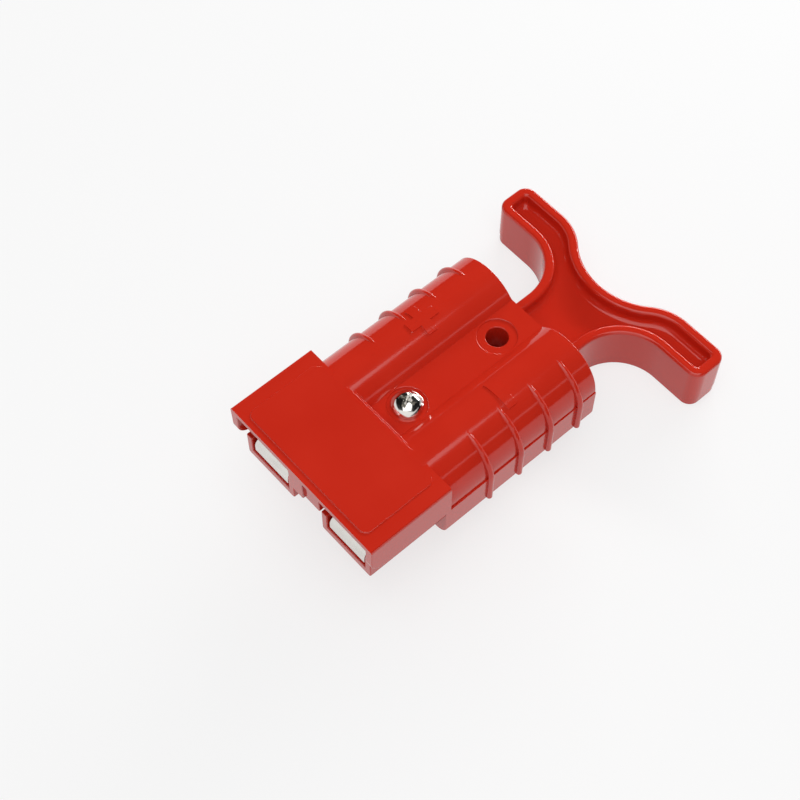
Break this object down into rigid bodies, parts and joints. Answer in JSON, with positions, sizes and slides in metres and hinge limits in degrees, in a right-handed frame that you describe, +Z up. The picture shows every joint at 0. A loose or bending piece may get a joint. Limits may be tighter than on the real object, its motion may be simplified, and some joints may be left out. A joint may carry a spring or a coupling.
{
  "type": "genderless power connector",
  "caption": "Genderless flat power connector in red plastic with twin cable barrels, a hooded mating mouth and a bolt-on T-shaped pull handle.",
  "frame": {"origin": "centre of the footprint at the base of the handle's flanges", "axes": "+Y from the mating mouth to the handle, +X across the poles, +Z up"},
  "size_m": [0.053, 0.0786, 0.0241],
  "materials": {
    "housing_plastic": "glossy moulded",
    "handle_plastic": "glossy moulded",
    "silver_plate": "satin silver plate over copper",
    "spring_steel": "bright strip",
    "nickel": "polished nickel plate"
  },
  "bodies": {
    "root": {"housing": "housing_plastic", "t_handle": "handle_plastic", "contact_positive": "silver_plate", "contact_negative": "silver_plate", "spring_positive": "spring_steel", "spring_negative": "spring_steel", "handle_screw": "nickel", "handle_nut": "nickel"}
  },
  "joints": []
}
